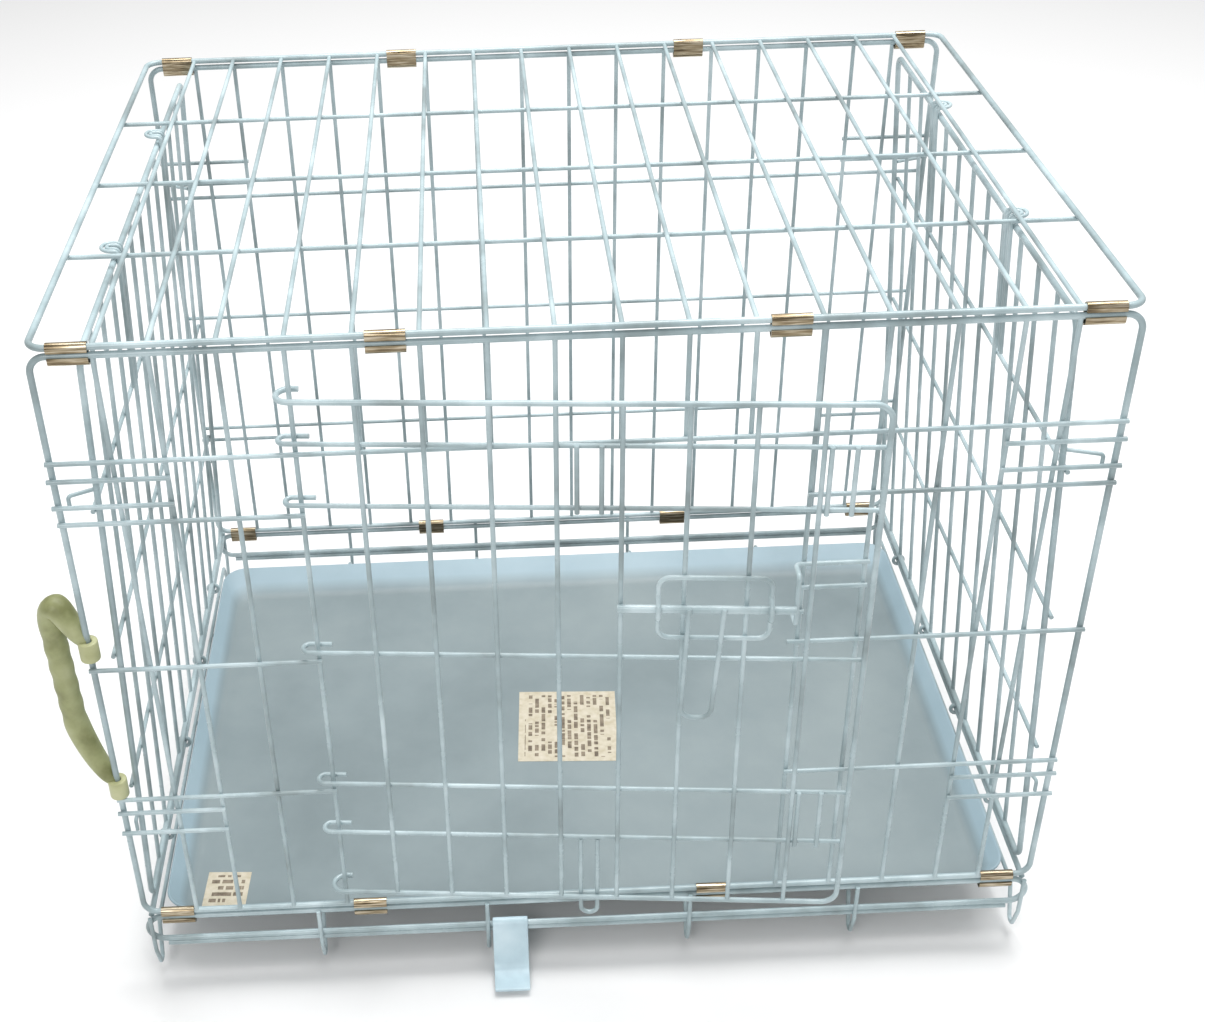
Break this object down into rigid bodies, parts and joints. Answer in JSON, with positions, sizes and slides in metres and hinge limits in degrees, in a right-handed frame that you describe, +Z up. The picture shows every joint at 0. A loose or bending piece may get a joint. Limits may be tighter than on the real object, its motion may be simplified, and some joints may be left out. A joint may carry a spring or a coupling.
{
  "type": "folding wire dog crate",
  "caption": "Folding wire dog crate with leaning end panels, an ajar front side door with a slide bolt, a lift-out tray, a carry handle and V feet.",
  "frame": {"origin": "on the floor, under the middle of the crate, halfway between the edge wires along the length and between the front and back panels", "axes": "+Z up; +X along the length, to the right when facing the door; +Y to the back; the side door is in the front, at -Y"},
  "size_m": [0.647, 0.5067, 0.5038],
  "materials": {
    "wire": "pale blue-grey coated steel wire, satin gloss",
    "clip": "gold-coloured plated sheet, satin",
    "tray": "moulded plastic, satin",
    "handle": "moulded olive plastic, satin",
    "strap": "moulded light blue plastic",
    "label": "printed paper sticker"
  },
  "bodies": {
    "crate_shell": {"back_corner_shorts": "wire", "back_frame": "wire", "back_rows": "wire", "back_uprights": "wire", "base_lower_wires": "wire", "base_rims": "wire", "base_side_rims": "wire", "clips_back_bottom": "clip", "clips_back_top": "clip", "clips_front_bottom": "clip", "clips_front_top": "clip", "floor_long_wires": "wire", "floor_wires": "wire", "front_corner_shorts": "wire", "front_frame": "wire", "front_header_uprights": "wire", "front_header_wire": "wire", "front_left_rows": "wire", "front_right_rows": "wire", "front_uprights": "wire", "keeper_bow": "wire", "keeper_wire": "wire", "roof_cross_wires": "wire", "roof_frame": "wire", "roof_long_wires": "wire"},
    "door": {"bolt_guide": "wire", "door_bottom_loop": "wire", "door_frame": "wire", "door_hinge_hooks": "wire", "door_middle_struts": "wire", "door_right_struts": "wire", "door_rows": "wire", "door_uprights": "wire"},
    "bolt": {"bolt_pull": "wire", "bolt_rod": "wire"},
    "left_end": {"left_end_frame": "wire", "left_end_hinge_eyes": "wire", "left_end_rows": "wire", "left_end_side_hooks": "wire", "left_end_top_hooks": "wire", "left_end_uprights": "wire"},
    "right_end": {"right_end_frame": "wire", "right_end_hinge_eyes": "wire", "right_end_rows": "wire", "right_end_side_hooks": "wire", "right_end_top_hooks": "wire", "right_end_uprights": "wire"},
    "tray": {"tray": "tray", "tray_labels": "label"},
    "fold_strap": {"fold_strap": "strap"},
    "carry_handle": {"carry_handle": "handle"}
  },
  "joints": [
    {"name": "door_hinge", "type": "hinge", "parent": "crate_shell", "child": "door", "pos_m": [-0.1665, -0.2305, 0.28], "axis": [0, 0, -1], "range_deg": [-5, 154.5]},
    {"name": "bolt_slide", "type": "slide", "parent": "door", "child": "bolt", "axis": [0.9962, -0.0872, 0], "range_m": [-0.013, 0.024]},
    {"name": "left_end_fold", "type": "hinge", "parent": "crate_shell", "child": "left_end", "pos_m": [-0.303, 0, 0.058], "axis": [0, 1, 0], "range_deg": [0, 86.9]},
    {"name": "right_end_fold", "type": "hinge", "parent": "crate_shell", "child": "right_end", "pos_m": [0.303, 0, 0.058], "axis": [0, -1, 0], "range_deg": [0, 78.4]},
    {"name": "tray_lift", "type": "slide", "parent": "crate_shell", "child": "tray", "axis": [0, 0, -1], "range_m": [-0.04, 0]},
    {"name": "strap_turn", "type": "hinge", "parent": "crate_shell", "child": "fold_strap", "pos_m": [-0.055, -0.23, 0.0364], "axis": [-1, 0, 0], "range_deg": [0, 110]},
    {"name": "handle_swing", "type": "hinge", "parent": "crate_shell", "child": "carry_handle", "pos_m": [-0.306, -0.23, 0.238], "axis": [0, 0, 1], "range_deg": [-60, 50]}
  ]
}
